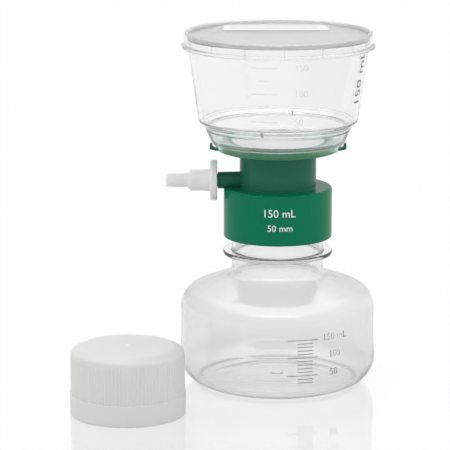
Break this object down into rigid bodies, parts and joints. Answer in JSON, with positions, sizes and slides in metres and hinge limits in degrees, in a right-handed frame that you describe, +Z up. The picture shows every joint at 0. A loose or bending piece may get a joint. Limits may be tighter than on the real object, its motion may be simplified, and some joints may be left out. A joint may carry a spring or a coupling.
{
  "type": "vacuum filtration unit",
  "caption": "Disposable bench unit that draws liquid by vacuum from a lidded clear funnel, through a membrane on a green screw-on base, into a clear receiver bottle with its own storage cap.",
  "frame": {"origin": "on the bottle's axis, in the plane of the bench that the bottle stands on", "axes": "+Z up along the bottle's axis, -X along the vacuum arm towards the hose, the storage cap standing in front and to the left, towards -X and -Y"},
  "size_m": [0.1415, 0.1279, 0.1668],
  "materials": {
    "clear_bottle": "clear, polished",
    "cap_white": "satin white polyethylene",
    "gasket_rubber": "translucent silicone",
    "base_green": "smooth opaque green",
    "plate_white": "satin white",
    "membrane_white": "matt white membrane",
    "clear_funnel": "clear, polished",
    "clear_lid": "clear with a hazy panel",
    "white_film": "white film",
    "adapter_natural": "natural polyethylene, slightly translucent",
    "wool": "loose fibre"
  },
  "bodies": {
    "bottle": {"receiver_bottle": "clear_bottle", "storage_cap": "cap_white"},
    "gasket": {"neck_gasket": "gasket_rubber"},
    "head": {"filter_base": "base_green", "support_plate": "plate_white", "membrane": "membrane_white", "funnel": "clear_funnel"},
    "lid": {"funnel_lid": "clear_lid", "lid_label": "white_film"},
    "adapter": {"tubing_adapter": "adapter_natural", "wool_plug": "wool"}
  },
  "joints": [
    {"name": "thread_rise", "type": "slide", "parent": "bottle", "child": "gasket", "axis": [0, 0, 1], "range_m": [0, 0.005]},
    {"name": "head_unscrew", "type": "hinge", "parent": "gasket", "child": "head", "pos_m": [0, 0, 0.09], "axis": [0, 0, 1], "range_deg": [0, 450]},
    {"name": "lid_lift", "type": "slide", "parent": "head", "child": "lid", "axis": [0, 0, 1], "range_m": [0, 0.025]},
    {"name": "adapter_pull", "type": "slide", "parent": "head", "child": "adapter", "axis": [-1, 0, 0], "range_m": [0, 0.015]}
  ],
  "couplings": [
    {"joint": "thread_rise", "follows": "head_unscrew", "m_per_rad": 0.0006366}
  ]
}
